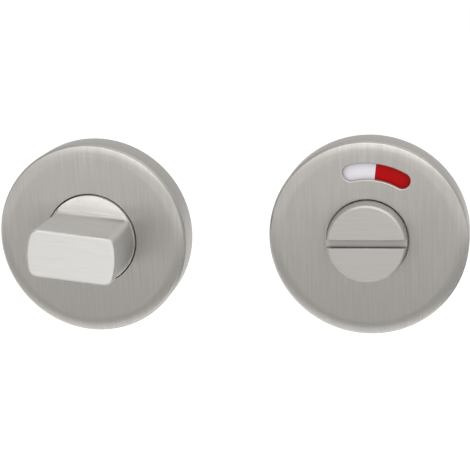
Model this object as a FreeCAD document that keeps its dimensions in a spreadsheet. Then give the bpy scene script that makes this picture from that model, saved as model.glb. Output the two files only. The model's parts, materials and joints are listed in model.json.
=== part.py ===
import FreeCAD, Part
import math
import os
import Sketcher

# A bathroom thumb turn lock set: the turn half and the release half lie side by side on one door face.
# Each piece is drawn with its axis along Z and its front towards +Z, then stood up to face -Y.

# Driving sizes, in millimetres and degrees.
SIZES = (
    # Roses.
    ("rose_diameter", 52.0),
    ("rose_height", 9.0),
    ("rim_roll", 3.7),
    ("rim_drop", 0.62),
    ("rose_edge_chamfer", 0.6),
    ("cover_wall", 1.2),
    ("hole_edge_chamfer", 0.15),
    ("centre_spacing", 74.6),
    # Thumb turn.
    ("foot_diameter", 24.4),
    ("foot_rise", 0.8),
    ("foot_fillet", 1.6),
    ("foot_corner_radius", 0.6),
    ("turn_projection", 18.4),
    ("turn_gap", 0.35),
    ("turn_rest_angle", -7.0),
    ("grip_width", 24.0),
    ("grip_thickness", 12.8),
    ("grip_corner_radius", 1.9),
    ("grip_edge_radius", 0.6),
    # Release head.
    ("release_diameter", 20.8),
    ("release_projection", 4.7),
    ("release_gap", 0.3),
    ("release_rest_angle", 0.0),
    ("release_edge_radius", 0.9),
    ("coin_slot_width", 2.2),
    ("coin_slot_depth", 2.0),
    # Window in the release cover, with angles clockwise from the top.
    ("window_inset", 8.0),
    ("window_width", 4.25),
    ("window_span", 43.2),
    ("window_angle", 9.2),
    ("window_edge_chamfer", 0.25),
    # Indicator disc and its red field.
    ("disc_rim_gap", 2.2),
    ("disc_thickness", 1.1),
    ("disc_gap", 0.4),
    ("disc_hub_diameter", 15.0),
    ("red_split_angle", 7.4),
    ("red_span", 90.0),
    ("red_margin", 0.8),
    ("red_depth", 0.3),
    # Base plates.
    ("base_clearance", 0.2),
    ("base_web", 2.0),
    ("base_rim_height", 5.0),
    ("base_rim_wall", 1.8),
    ("hub_diameter", 23.2),
    ("hub_height", 5.2),
    ("recess_diameter", 17.2),
    ("recess_depth", 2.6),
    ("rib_thickness", 1.2),
    ("rib_height", 4.2),
    ("boss_diameter", 10.0),
    ("fixing_inset", 5.6),
    ("seat_height", 2.4),
    # Snap noses on the base plates and the groove that takes them in the covers.
    ("nose_reach", 0.45),
    ("nose_height", 0.8),
    ("nose_level", 1.6),
    ("nose_span", 14.0),
    ("nose_clearance", 0.2),
    ("tongue_slit", 0.9),
    # Shanks, bushes and running fits.
    ("shank_diameter", 10.0),
    ("shank_tail", 4.5),
    ("shank_chamfer", 0.5),
    ("bush_wall", 1.45),
    ("bush_flange_diameter", 15.2),
    ("bush_flange_thickness", 0.8),
    ("running_clearance", 0.05),
    ("axial_clearance", 0.15),
    ("press_clearance", 0.02),
    # Turning stop.
    ("stop_radius", 9.1),
    ("stop_peg_diameter", 2.0),
    ("stop_slot_depth", 2.0),
    ("stop_clearance", 0.25),
    ("stop_travel", 90.0),
    # Spindle and its spring pin.
    ("spindle_width", 5.0),
    ("spindle_clearance", 0.06),
    ("spindle_reach", 46.0),
    ("spindle_chamfer", 0.6),
    ("spindle_end_gap", 0.3),
    ("socket_depth", 5.0),
    ("pin_diameter", 2.0),
    ("pin_wall", 0.4),
    ("pin_slit", 0.5),
    ("pin_length", 9.4),
    ("pin_level", 2.3),
    # Disc springs and circlips.
    ("spring_diameter", 15.0),
    ("spring_thickness", 0.4),
    ("spring_cone", 0.3),
    ("circlip_thickness", 1.0),
    ("circlip_width", 1.5),
    ("circlip_gap", 2.0),
    ("circlip_ear_diameter", 2.8),
    ("circlip_hole_diameter", 1.2),
    ("groove_depth", 0.2),
    # Fixing screws.
    ("screw_diameter", 3.5),
    ("screw_neck_diameter", 3.0),
    ("screw_length", 16.0),
    ("screw_point", 3.0),
    ("screw_clearance", 0.35),
    ("head_diameter", 7.0),
    ("head_height", 2.2),
    ("head_edge_chamfer", 0.7),
    ("head_clearance", 0.3),
    ("drive_width", 1.0),
    ("drive_length", 4.2),
    ("drive_depth", 1.2),
)

# Ribs and snap noses stand between the two fixing bosses.
RIB_COUNT = 8
RIB_START = 22.5
NOSE_COUNT = 4
NOSE_START = 45.0

# Directions round the foot's quarter fillet, from the floor up to the grip's flank.
FOOT_STEPS = (0.0, 22.5, 45.0, 67.5, 90.0)

# How far cutting profiles run past the material.
OVERRUN = 1.0
TOLERANCE = 1e-4

FACING = FreeCAD.Rotation(FreeCAD.Vector(1, 0, 0), 90)
AXIS = FreeCAD.Vector(0, 0, 1)


class Size:
    """A length or an angle: its value and the sheet formula that gives it."""

    def __init__(self, value, formula):
        self.value = value
        self.formula = formula

    def join(self, sign, other, value):
        text = other.formula if isinstance(other, Size) else repr(other)
        return Size(value, "(" + self.formula + " " + sign + " " + text + ")")

    def __add__(self, other):
        return self.join("+", other, self.value + number(other))

    def __sub__(self, other):
        return self.join("-", other, self.value - number(other))

    def __mul__(self, other):
        return self.join("*", other, self.value * number(other))

    def __truediv__(self, other):
        return self.join("/", other, self.value / number(other))

    def __neg__(self):
        return Size(-self.value, "(0 - " + self.formula + ")")


ZERO = Size(0.0, "0")
TOP = Size(90.0, "90")


def number(size):
    """The plain value of a size or a number."""
    return size.value if isinstance(size, Size) else size


def sine(angle):
    """The sine of an angle in degrees."""
    return Size(math.sin(math.radians(angle.value)), "sin(" + angle.formula + ")")


def cosine(angle):
    """The cosine of an angle in degrees."""
    return Size(math.cos(math.radians(angle.value)), "cos(" + angle.formula + ")")


def make_sheet(doc):
    """Write the driving sizes into a sheet and return each one by its name."""
    sheet = doc.addObject("Spreadsheet::Sheet", "Sizes")
    sizes = {}
    for row, (name, value) in enumerate(SIZES, start=1):
        sheet.set("A" + str(row), name)
        sheet.set("B" + str(row), str(value))
        sheet.setAlias("B" + str(row), name)
        sizes[name] = Size(value, "Sizes." + name)
    doc.recompute()
    return sizes


doc = FreeCAD.newDocument("thumb_turn_lock")
S = make_sheet(doc)

# Places and radii that several pieces share.
rose_radius = S["rose_diameter"] / 2
cover_radius = rose_radius - S["cover_wall"]
cover_ceiling = S["rose_height"] - S["cover_wall"]
rim_low = S["rose_height"] - S["rim_drop"]
base_radius = cover_radius - S["base_clearance"]
rim_radius = base_radius - S["base_rim_wall"]
hub_radius = S["hub_diameter"] / 2
nose_radius = base_radius + S["nose_reach"]
fixing_offset = base_radius - S["fixing_inset"]
shank_radius = S["shank_diameter"] / 2
bush_bore = shank_radius + S["running_clearance"]
bush_radius = bush_bore + S["bush_wall"]
bush_front = S["hub_height"] + S["bush_flange_thickness"]
turning_back = bush_front + S["axial_clearance"]
peg_radius = S["stop_peg_diameter"] / 2
peg_end = S["hub_height"] - S["stop_slot_depth"] + S["stop_clearance"]
spring_top = S["recess_depth"] - S["axial_clearance"]
circlip_top = spring_top - S["spring_cone"] - S["spring_thickness"]
circlip_bottom = circlip_top - S["circlip_thickness"]
groove_radius = shank_radius - S["groove_depth"]
foot_radius = S["foot_diameter"] / 2
grip_radius = S["grip_width"] / 2
turn_floor = S["rose_height"] + S["foot_rise"]
turn_front = S["rose_height"] + S["turn_projection"]
release_radius = S["release_diameter"] / 2
release_front = S["rose_height"] + S["release_projection"]
disc_front = cover_ceiling - S["disc_gap"]
disc_back = disc_front - S["disc_thickness"]
disc_radius = cover_radius - S["disc_rim_gap"]
window_radius = rose_radius - S["window_inset"]
socket_width = S["spindle_width"] + S["spindle_clearance"] * 2
head_radius = S["head_diameter"] / 2


def new_body(name):
    return doc.addObject("PartDesign::Body", name)


def place(body, across=ZERO, angle=ZERO):
    """Stand a body on the door face, so far across, turned about its own axis."""
    spin = FreeCAD.Rotation(AXIS, angle.value)
    body.Placement = FreeCAD.Placement(FreeCAD.Vector(across.value, 0, 0), FACING.multiply(spin))
    body.setExpression("Placement.Base.x", across.formula)


def new_sketch(body, name, plane="XY_Plane", level=ZERO, turned=0.0):
    """A sketch on one of the body's own planes, raised to a level and turned about its normal."""
    sketch = body.newObject("Sketcher::SketchObject", name)
    support = [item for item in body.Origin.OriginFeatures if item.Role == plane][0]
    sketch.AttachmentSupport = [(support, "")]
    sketch.MapMode = "FlatFace"
    spin = FreeCAD.Rotation(AXIS, turned)
    sketch.AttachmentOffset = FreeCAD.Placement(FreeCAD.Vector(0, 0, level.value), spin)
    sketch.setExpression("AttachmentOffset.Base.z", level.formula)
    return sketch


def bind(sketch, size, *constraint):
    """Add a sized constraint that follows the sheet."""
    angular = constraint[0] == "Angle"
    value = math.radians(size.value) if angular else size.value
    index = sketch.addConstraint(Sketcher.Constraint(*constraint, value))
    sketch.setExpression("Constraints[" + str(index) + "]", size.formula)


def pin_point(sketch, shape, end, x, y):
    """Hold one point of a sketch at x and y."""
    for kind, size, axis in (("DistanceX", x, -2), ("DistanceY", y, -1)):
        if size is ZERO:
            sketch.addConstraint(Sketcher.Constraint("PointOnObject", shape, end, axis))
        else:
            bind(sketch, size, kind, -1, 1, shape, end)


def at(x, y):
    return FreeCAD.Vector(number(x), number(y), 0)


def add_line(sketch, start, end):
    return sketch.addGeometry(Part.LineSegment(at(*start), at(*end)), False)


def polygon(sketch, corners):
    """A closed outline of straight lines through corners given as sizes."""
    lines = []
    for start, end in zip(corners, corners[1:] + corners[:1]):
        lines.append(add_line(sketch, start, end))
    for line, following in zip(lines, lines[1:] + lines[:1]):
        sketch.addConstraint(Sketcher.Constraint("Coincident", line, 2, following, 1))
    for line, corner in zip(lines, corners):
        pin_point(sketch, line, 1, *corner)


def rectangle(sketch, left, right, low, high):
    polygon(sketch, [(left, low), (right, low), (right, high), (left, high)])


def circle(sketch, radius, x=ZERO, y=ZERO):
    ring = sketch.addGeometry(Part.Circle(at(x, y), AXIS, radius.value), False)
    bind(sketch, radius, "Radius", ring)
    pin_point(sketch, ring, 3, x, y)


def add_arc(sketch, x, y, radius, start, end):
    """An arc from one direction to another, counter-clockwise, in degrees."""
    ring = Part.Circle(at(x, y), AXIS, number(radius))
    arc = Part.ArcOfCircle(ring, math.radians(number(start)), math.radians(number(end)))
    return sketch.addGeometry(arc, False)


def arc_slot(sketch, radius, width, start, end):
    """A round-ended slot bent about the axis, between the centres of its two ends."""
    half = width / 2
    outer = add_arc(sketch, ZERO, ZERO, radius + half, start, end)
    inner = add_arc(sketch, ZERO, ZERO, radius - half, start, end)
    first = (radius * cosine(start), radius * sine(start))
    last = (radius * cosine(end), radius * sine(end))
    cap_first = add_arc(sketch, *first, half, start - 180.0, start)
    cap_last = add_arc(sketch, *last, half, end, end + 180.0)
    pin_point(sketch, outer, 3, ZERO, ZERO)
    pin_point(sketch, inner, 3, ZERO, ZERO)
    pin_point(sketch, cap_first, 3, *first)
    bind(sketch, last[0], "DistanceX", -1, 1, cap_last, 3)
    sketch.addConstraint(Sketcher.Constraint("Tangent", outer, 1, cap_first, 2))
    sketch.addConstraint(Sketcher.Constraint("Tangent", inner, 1, cap_first, 1))
    sketch.addConstraint(Sketcher.Constraint("Tangent", outer, 2, cap_last, 1))
    sketch.addConstraint(Sketcher.Constraint("Tangent", inner, 2, cap_last, 2))
    bind(sketch, half, "Radius", cap_first)


def sector(sketch, inner_radius, outer_radius, start, end):
    """Part of a ring about the axis, closed by two radial lines."""
    outer = add_arc(sketch, ZERO, ZERO, outer_radius, start, end)
    inner = add_arc(sketch, ZERO, ZERO, inner_radius, start, end)
    pin_point(sketch, outer, 3, ZERO, ZERO)
    pin_point(sketch, inner, 3, ZERO, ZERO)
    bind(sketch, outer_radius, "Radius", outer)
    bind(sketch, inner_radius, "Radius", inner)
    for angle, end_mark in ((start, 1), (end, 2)):
        near = (inner_radius * cosine(angle), inner_radius * sine(angle))
        far = (outer_radius * cosine(angle), outer_radius * sine(angle))
        side = add_line(sketch, near, far)
        sketch.addConstraint(Sketcher.Constraint("Coincident", side, 1, inner, end_mark))
        sketch.addConstraint(Sketcher.Constraint("Coincident", side, 2, outer, end_mark))
        sketch.addConstraint(Sketcher.Constraint("PointOnObject", -1, 1, side))
        bind(sketch, angle, "Angle", side)


def grip_outline(sketch, radius, half_thickness, corner):
    """A round bar's end cut to two flats, with every corner rounded."""
    drop = half_thickness - corner
    reach = math.sqrt((radius - corner).value ** 2 - drop.value ** 2)
    lean = math.degrees(math.atan2(drop.value, reach))
    right = add_arc(sketch, ZERO, ZERO, radius, -lean, lean)
    upper_right = add_arc(sketch, reach, drop, corner, lean, 90.0)
    upper = add_line(sketch, (reach, half_thickness), (-reach, half_thickness))
    upper_left = add_arc(sketch, -reach, drop, corner, 90.0, 180.0 - lean)
    left = add_arc(sketch, ZERO, ZERO, radius, 180.0 - lean, 180.0 + lean)
    lower_left = add_arc(sketch, -reach, -drop, corner, 180.0 + lean, 270.0)
    lower = add_line(sketch, (-reach, -half_thickness), (reach, -half_thickness))
    lower_right = add_arc(sketch, reach, -drop, corner, 270.0, 360.0 - lean)
    loop = [right, upper_right, upper, upper_left, left, lower_left, lower, lower_right]
    for piece, following in zip(loop, loop[1:] + loop[:1]):
        sketch.addConstraint(Sketcher.Constraint("Tangent", piece, 2, following, 1))
    for end in (right, left):
        pin_point(sketch, end, 3, ZERO, ZERO)
        bind(sketch, radius, "Radius", end)
    for rounding in (upper_right, upper_left, lower_left, lower_right):
        bind(sketch, corner, "Radius", rounding)
    for line, height in ((upper, half_thickness), (lower, -half_thickness)):
        sketch.addConstraint(Sketcher.Constraint("Horizontal", line))
        bind(sketch, height, "DistanceY", -1, 1, line, 1)


def revolve(body, name, corners):
    """Turn an outline of radii and levels about the body's axis."""
    sketch = new_sketch(body, name + "_profile", "XZ_Plane")
    polygon(sketch, corners)
    feature = body.newObject("PartDesign::Revolution", name)
    feature.Profile = sketch
    feature.ReferenceAxis = (sketch, ["V_Axis"])
    doc.recompute()
    return feature


def extrude(body, kind, name, sketch, length, backwards=False, both_ways=False):
    """Pad or pocket a sketch and make sure that it changed the body."""
    before = body.Shape.Volume if body.Tip else 0.0
    feature = body.newObject("PartDesign::" + kind, name)
    feature.Profile = sketch
    feature.Reversed = backwards
    if both_ways:
        feature.SideType = "Symmetric"
    feature.setExpression("Length", length.formula)
    doc.recompute()
    if abs(feature.Shape.Volume - before) < TOLERANCE:
        raise RuntimeError(body.Name + ": " + name + " changed nothing")
    return feature


def pad(body, name, sketch, length, **ways):
    return extrude(body, "Pad", name, sketch, length, **ways)


def pocket(body, name, sketch, length, **ways):
    return extrude(body, "Pocket", name, sketch, length, **ways)


def repeat(body, name, feature, count, angle=360.0):
    """Repeat a feature round the body's axis."""
    pattern = body.newObject("PartDesign::PolarPattern", name)
    pattern.Originals = [feature]
    pattern.Axis = (feature.Profile[0], ["N_Axis"])
    pattern.Angle = angle
    pattern.Occurrences = count
    body.Tip = pattern
    doc.recompute()


def dress_edges(body, kind, name, size, wanted):
    """Fillet or chamfer the edges of the body that the test wants."""
    base = body.Tip
    names = ["Edge" + str(i) for i, edge in enumerate(base.Shape.Edges, start=1) if wanted(edge)]
    if not names:
        raise RuntimeError(body.Name + ": " + name + " found no edge")
    feature = body.newObject("PartDesign::" + kind, name)
    feature.Base = (base, names)
    feature.setExpression("Radius" if kind == "Fillet" else "Size", size.formula)
    doc.recompute()


def round_edges(body, name, radius, wanted):
    dress_edges(body, "Fillet", name, radius, wanted)


def bevel_edges(body, name, size, wanted):
    dress_edges(body, "Chamfer", name, size, wanted)


def ring_at(radius, level):
    """A test for a full circle of this radius at this level."""
    def wanted(edge):
        curve = edge.Curve
        if not isinstance(curve, Part.Circle):
            return False
        return abs(curve.Radius - radius.value) < TOLERANCE and abs(curve.Center.z - level.value) < TOLERANCE
    return wanted


def between(level, inner_radius, outer_radius):
    """A test for edges that lie at one level, between two radii."""
    def wanted(edge):
        box = edge.BoundBox
        flat = abs(box.ZMin - level.value) < TOLERANCE and abs(box.ZMax - level.value) < TOLERANCE
        middle = edge.valueAt((edge.FirstParameter + edge.LastParameter) / 2)
        distance = math.hypot(middle.x, middle.y)
        return flat and inner_radius.value < distance < outer_radius.value
    return wanted


def roll_rim(body):
    """Let the face fall away in one wide arc before it meets the side wall."""
    start = rose_radius - S["rim_roll"]
    bow = (S["rim_roll"] * S["rim_roll"] + S["rim_drop"] * S["rim_drop"]) / (S["rim_drop"] * 2)
    lean = math.degrees(math.asin((S["rim_roll"] / bow).value))
    sketch = new_sketch(body, body.Name + "_roll_profile", "XZ_Plane")
    arc = add_arc(sketch, start, S["rose_height"] - bow, bow, 90.0 - lean, 90.0)
    corner = (rose_radius, S["rose_height"])
    wall = add_line(sketch, (rose_radius, rim_low), corner)
    face = add_line(sketch, corner, (start, S["rose_height"]))
    sketch.addConstraint(Sketcher.Constraint("Coincident", wall, 2, face, 1))
    sketch.addConstraint(Sketcher.Constraint("Coincident", arc, 1, wall, 1))
    sketch.addConstraint(Sketcher.Constraint("Coincident", arc, 2, face, 2))
    pin_point(sketch, wall, 1, rose_radius, rim_low)
    pin_point(sketch, wall, 2, *corner)
    pin_point(sketch, face, 2, start, S["rose_height"])
    bind(sketch, start, "DistanceX", -1, 1, arc, 3)
    feature = body.newObject("PartDesign::Groove", body.Name + "_roll")
    feature.Profile = sketch
    feature.ReferenceAxis = (sketch, ["V_Axis"])
    doc.recompute()


def rose_cover(name, hole_radius):
    """A drawn cup with a hole in its face and a snap groove inside its skirt."""
    body = new_body(name)
    groove_radius_inside = nose_radius + S["nose_clearance"]
    groove_low = S["nose_level"] - S["nose_clearance"]
    groove_high = S["nose_level"] + S["nose_height"] + S["nose_clearance"]
    inside_bevel = S["cover_wall"] / 2
    revolve(body, name + "_cup", [
        (hole_radius, cover_ceiling),
        (cover_radius - inside_bevel, cover_ceiling),
        (cover_radius, cover_ceiling - inside_bevel),
        (cover_radius, groove_high),
        (groove_radius_inside, groove_high),
        (groove_radius_inside, groove_low),
        (cover_radius, groove_low),
        (cover_radius, ZERO),
        (rose_radius, ZERO),
        (rose_radius, S["rose_height"]),
        (hole_radius, S["rose_height"]),
    ])
    roll_rim(body)
    bevel_edges(body, name + "_rim", S["rose_edge_chamfer"], ring_at(rose_radius, rim_low))
    bevel_edges(body, name + "_hole_edge", S["hole_edge_chamfer"], ring_at(hole_radius, S["rose_height"]))
    return body


def cut_window(body):
    """Pierce the indicator window through a cover's face."""
    middle = TOP - S["window_angle"]
    half_span = S["window_span"] / 2
    sketch = new_sketch(body, "window_profile", level=S["rose_height"])
    arc_slot(sketch, window_radius, S["window_width"], middle - half_span, middle + half_span)
    pocket(body, "window", sketch, S["cover_wall"] + OVERRUN)
    near = window_radius - S["window_width"]
    far = window_radius + S["window_width"]
    bevel_edges(body, "window_edge", S["window_edge_chamfer"], between(S["rose_height"], near, far))


def base_plate(name):
    """The moulded plate that carries the bush, the screws and the cover."""
    body = new_body(name)
    bore_radius = S["screw_diameter"] / 2 + S["screw_clearance"]
    hub_bore = bush_radius + S["press_clearance"]
    recess_radius = S["recess_diameter"] / 2
    revolve(body, name + "_dish", [
        (hub_bore, S["recess_depth"]),
        (recess_radius, S["recess_depth"]),
        (recess_radius, ZERO),
        (base_radius, ZERO),
        (base_radius, S["base_rim_height"]),
        (rim_radius, S["base_rim_height"]),
        (rim_radius, S["base_web"]),
        (hub_radius, S["base_web"]),
        (hub_radius, S["hub_height"]),
        (hub_bore, S["hub_height"]),
    ])
    # Ribs tie the hub to the rim.
    half_rib = S["rib_thickness"] / 2
    sketch = new_sketch(body, name + "_rib_profile", level=S["base_web"], turned=RIB_START)
    rectangle(sketch, -half_rib, half_rib, hub_radius - half_rib, rim_radius + half_rib)
    rib = pad(body, name + "_rib", sketch, S["rib_height"] - S["base_web"])
    repeat(body, name + "_ribs", rib, RIB_COUNT)
    # Two bosses take the fixing screws.
    sketch = new_sketch(body, name + "_boss_profile")
    for side in (-fixing_offset, fixing_offset):
        circle(sketch, S["boss_diameter"] / 2, side)
    pad(body, name + "_bosses", sketch, S["base_rim_height"])
    sketch = new_sketch(body, name + "_seat_profile", level=S["base_rim_height"])
    for side in (-fixing_offset, fixing_offset):
        circle(sketch, head_radius + S["head_clearance"], side)
    pocket(body, name + "_seats", sketch, S["base_rim_height"] - S["seat_height"])
    sketch = new_sketch(body, name + "_bore_profile", level=S["base_rim_height"])
    for side in (-fixing_offset, fixing_offset):
        circle(sketch, bore_radius, side)
    pocket(body, name + "_bores", sketch, S["base_rim_height"] + OVERRUN)
    # The stop peg of the turning piece runs in this slot.
    half_travel = S["stop_travel"] / 2
    slot_width = S["stop_peg_diameter"] + S["stop_clearance"] * 2
    sketch = new_sketch(body, name + "_stop_profile", level=S["hub_height"])
    arc_slot(sketch, S["stop_radius"], slot_width, TOP - half_travel, TOP + half_travel)
    pocket(body, name + "_stop_slot", sketch, S["stop_slot_depth"])
    # Slits make springy tongues of the rim, and a nose on each tongue holds the cover.
    half_nose = S["nose_span"] / 2
    slit_near = base_radius * sine(half_nose) + S["tongue_slit"] / 2
    slit_far = slit_near + S["tongue_slit"]
    sketch = new_sketch(body, name + "_slit_profile", level=S["base_rim_height"], turned=NOSE_START)
    rectangle(sketch, slit_near, slit_far, rim_radius - OVERRUN, base_radius + OVERRUN)
    rectangle(sketch, -slit_far, -slit_near, rim_radius - OVERRUN, base_radius + OVERRUN)
    slits = pocket(body, name + "_slit_pair", sketch, S["base_rim_height"] - S["base_web"])
    repeat(body, name + "_slits", slits, NOSE_COUNT)
    sketch = new_sketch(body, name + "_nose_profile", level=S["nose_level"], turned=NOSE_START)
    sector(sketch, rim_radius, nose_radius, TOP - half_nose, TOP + half_nose)
    nose = pad(body, name + "_nose", sketch, S["nose_height"])
    repeat(body, name + "_noses", nose, NOSE_COUNT)
    return body


def bush(name):
    """The flanged bearing bush in a base plate's hub."""
    body = new_body(name)
    flange_radius = S["bush_flange_diameter"] / 2
    revolve(body, name + "_ring", [
        (bush_bore, S["recess_depth"]),
        (bush_radius, S["recess_depth"]),
        (bush_radius, S["hub_height"]),
        (flange_radius, S["hub_height"]),
        (flange_radius, bush_front),
        (bush_bore, bush_front),
    ])
    return body


def shank_corners():
    """The outline of the turned shank, from its tail up to the bush, with the circlip's groove."""
    tail = -S["shank_tail"]
    groove_low = circlip_bottom - S["running_clearance"]
    groove_high = circlip_top + S["running_clearance"]
    return [
        (ZERO, tail),
        (shank_radius - S["shank_chamfer"], tail),
        (shank_radius, tail + S["shank_chamfer"]),
        (shank_radius, groove_low),
        (groove_radius, groove_low),
        (groove_radius, groove_high),
        (shank_radius, groove_high),
        (shank_radius, turning_back),
    ]


def cut_socket(body):
    """Broach the square socket for the spindle into a shank's tail."""
    half = socket_width / 2
    sketch = new_sketch(body, body.Name + "_socket_profile", level=-S["shank_tail"])
    rectangle(sketch, -half, half, -half, half)
    pocket(body, body.Name + "_socket", sketch, S["shank_tail"] + S["socket_depth"], backwards=True)


def add_peg(body, level):
    """The stop peg, from the underside of a turning piece into the base plate's slot."""
    sketch = new_sketch(body, body.Name + "_peg_profile", level=level)
    circle(sketch, peg_radius, ZERO, S["stop_radius"])
    pad(body, body.Name + "_peg", sketch, level - peg_end, backwards=True)


def cross_drill(body):
    """The spring pin's hole across the spindle end."""
    sketch = new_sketch(body, body.Name + "_pin_hole_profile", "YZ_Plane")
    circle(sketch, S["pin_diameter"] / 2 + S["press_clearance"], ZERO, -S["pin_level"])
    pocket(body, body.Name + "_pin_hole", sketch, S["shank_diameter"] + OVERRUN, both_ways=True)


def thumb_turn():
    """The turn: shank and round foot, then a grip that grows out of the foot with two flat flanks."""
    body = new_body("thumb_turn")
    revolve(body, "turn_foot", shank_corners() + [
        (foot_radius, turning_back),
        (foot_radius, turn_floor),
        (ZERO, turn_floor),
    ])
    half_grip = S["grip_thickness"] / 2
    corner_growth = S["grip_corner_radius"] - S["foot_corner_radius"]
    sections = []
    for step in FOOT_STEPS:
        rise = S["foot_fillet"] * (1.0 - math.cos(math.radians(step)))
        spread = S["foot_fillet"] * (1.0 - math.sin(math.radians(step)))
        corner = S["foot_corner_radius"] + corner_growth * math.sin(math.radians(step))
        sketch = new_sketch(body, "foot_section_" + str(len(sections) + 1), level=turn_floor + rise)
        grip_outline(sketch, grip_radius, half_grip + spread, corner)
        sections.append(sketch)
    doc.recompute()
    flare = body.newObject("PartDesign::AdditiveLoft", "turn_flare")
    flare.Profile = sections[0]
    flare.Sections = sections[1:]
    doc.recompute()
    grip_base = turn_floor + S["foot_fillet"]
    sketch = new_sketch(body, "grip_profile", level=grip_base)
    grip_outline(sketch, grip_radius, half_grip, S["grip_corner_radius"])
    pad(body, "turn_grip", sketch, turn_front - grip_base)
    round_edges(body, "grip_edge", S["grip_edge_radius"], between(turn_front, ZERO, foot_radius))
    add_peg(body, turning_back)
    cut_socket(body)
    cross_drill(body)
    return body


def spindle():
    """The square bar that passes through the lock case."""
    body = new_body("turn_spindle")
    half = S["spindle_width"] / 2
    tip = -S["spindle_reach"]
    sketch = new_sketch(body, "spindle_profile", level=tip)
    rectangle(sketch, -half, half, -half, half)
    pad(body, "spindle_bar", sketch, S["spindle_reach"] + S["socket_depth"] - S["spindle_end_gap"])
    bevel_edges(body, "spindle_tip", S["spindle_chamfer"], between(tip, ZERO, S["spindle_width"]))
    cross_drill(body)
    return body


def spring_pin():
    """A rolled pin with a slit along it, driven across shank and spindle."""
    body = new_body("spindle_pin")
    outer = S["pin_diameter"] / 2
    level = -S["pin_level"]
    half_slit = S["pin_slit"] / 2
    sketch = new_sketch(body, "pin_profile", "YZ_Plane")
    circle(sketch, outer, ZERO, level)
    circle(sketch, outer - S["pin_wall"], ZERO, level)
    pad(body, "pin_tube", sketch, S["pin_length"], both_ways=True)
    sketch = new_sketch(body, "pin_slit_profile", "YZ_Plane")
    rectangle(sketch, -half_slit, half_slit, level, level + outer + OVERRUN)
    pocket(body, "pin_slit_cut", sketch, S["pin_length"] + OVERRUN, both_ways=True)
    return body


def disc_spring(name):
    """A cone spring between the circlip and the floor of the hub's recess."""
    body = new_body(name)
    inner = bush_bore + S["running_clearance"]
    outer = S["spring_diameter"] / 2
    revolve(body, name + "_cone", [
        (inner, circlip_top),
        (outer, circlip_top + S["spring_cone"]),
        (outer, spring_top),
        (inner, circlip_top + S["spring_thickness"]),
    ])
    return body


def circlip(name):
    """An open retaining ring with two eared ends."""
    body = new_body(name)
    inner = groove_radius + S["press_clearance"]
    outer = inner + S["circlip_width"]
    ear = S["circlip_ear_diameter"] / 2
    ear_offset = S["circlip_gap"] / 2 + ear * 0.9
    half_gap = S["circlip_gap"] / 2
    sketch = new_sketch(body, name + "_ring_profile", level=circlip_bottom)
    circle(sketch, outer)
    circle(sketch, inner)
    pad(body, name + "_ring", sketch, S["circlip_thickness"])
    sketch = new_sketch(body, name + "_ear_profile", level=circlip_bottom)
    for side in (-ear_offset, ear_offset):
        circle(sketch, ear, side, -outer)
    pad(body, name + "_ears", sketch, S["circlip_thickness"])
    sketch = new_sketch(body, name + "_hole_profile", level=circlip_top)
    for side in (-ear_offset, ear_offset):
        circle(sketch, S["circlip_hole_diameter"] / 2, side, -outer)
    pocket(body, name + "_holes", sketch, S["circlip_thickness"])
    sketch = new_sketch(body, name + "_gap_profile", level=circlip_top)
    rectangle(sketch, -half_gap, half_gap, -(outer + ear + OVERRUN), ZERO)
    pocket(body, name + "_gap", sketch, S["circlip_thickness"])
    return body


def screw(name):
    """A wood screw: neck in the base plate, thread in the door, round head with a cross recess."""
    body = new_body(name)
    thread = S["screw_diameter"] / 2
    neck = S["screw_neck_diameter"] / 2
    tip = S["seat_height"] - S["screw_length"]
    top = S["seat_height"] + S["head_height"]
    revolve(body, name + "_blank", [
        (ZERO, tip),
        (thread, tip + S["screw_point"]),
        (thread, ZERO),
        (neck, ZERO),
        (neck, S["seat_height"]),
        (head_radius, S["seat_height"]),
        (head_radius, top),
        (ZERO, top),
    ])
    bevel_edges(body, name + "_head_edge", S["head_edge_chamfer"], ring_at(head_radius, top))
    half_length = S["drive_length"] / 2
    half_width = S["drive_width"] / 2
    sketch = new_sketch(body, name + "_drive_profile", level=top)
    rectangle(sketch, -half_length, half_length, -half_width, half_width)
    slot = pocket(body, name + "_drive", sketch, S["drive_depth"])
    repeat(body, name + "_cross", slot, 2, 90.0)
    return body


def screw_pair(half, centre):
    """The two fixing screws of one half, at its bosses."""
    pair = [screw(half + "_screw_left"), screw(half + "_screw_right")]
    place(pair[0], centre - fixing_offset)
    place(pair[1], centre + fixing_offset)
    return pair


def release_head():
    """The outside head: shank, hub for the disc, and a face with a coin slot."""
    body = new_body("release_head")
    disc_hub = S["disc_hub_diameter"] / 2
    revolve(body, "release_blank", shank_corners() + [
        (disc_hub, turning_back),
        (disc_hub, disc_front),
        (release_radius, disc_front),
        (release_radius, release_front),
        (ZERO, release_front),
    ])
    round_edges(body, "release_edge", S["release_edge_radius"], ring_at(release_radius, release_front))
    past = release_radius + OVERRUN
    half_slot = S["coin_slot_width"] / 2
    sketch = new_sketch(body, "coin_slot_profile", level=release_front)
    rectangle(sketch, -past, past, -half_slot, half_slot)
    pocket(body, "coin_slot", sketch, S["coin_slot_depth"])
    add_peg(body, disc_front)
    cut_socket(body)
    return body


def red_sector(sketch):
    """The red field's outline, wide enough to fill the window."""
    half_width = S["window_width"] / 2 + S["red_margin"]
    start = TOP - (S["red_split_angle"] + S["release_rest_angle"])
    sector(sketch, window_radius - half_width, window_radius + half_width, start - S["red_span"], start)


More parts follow.
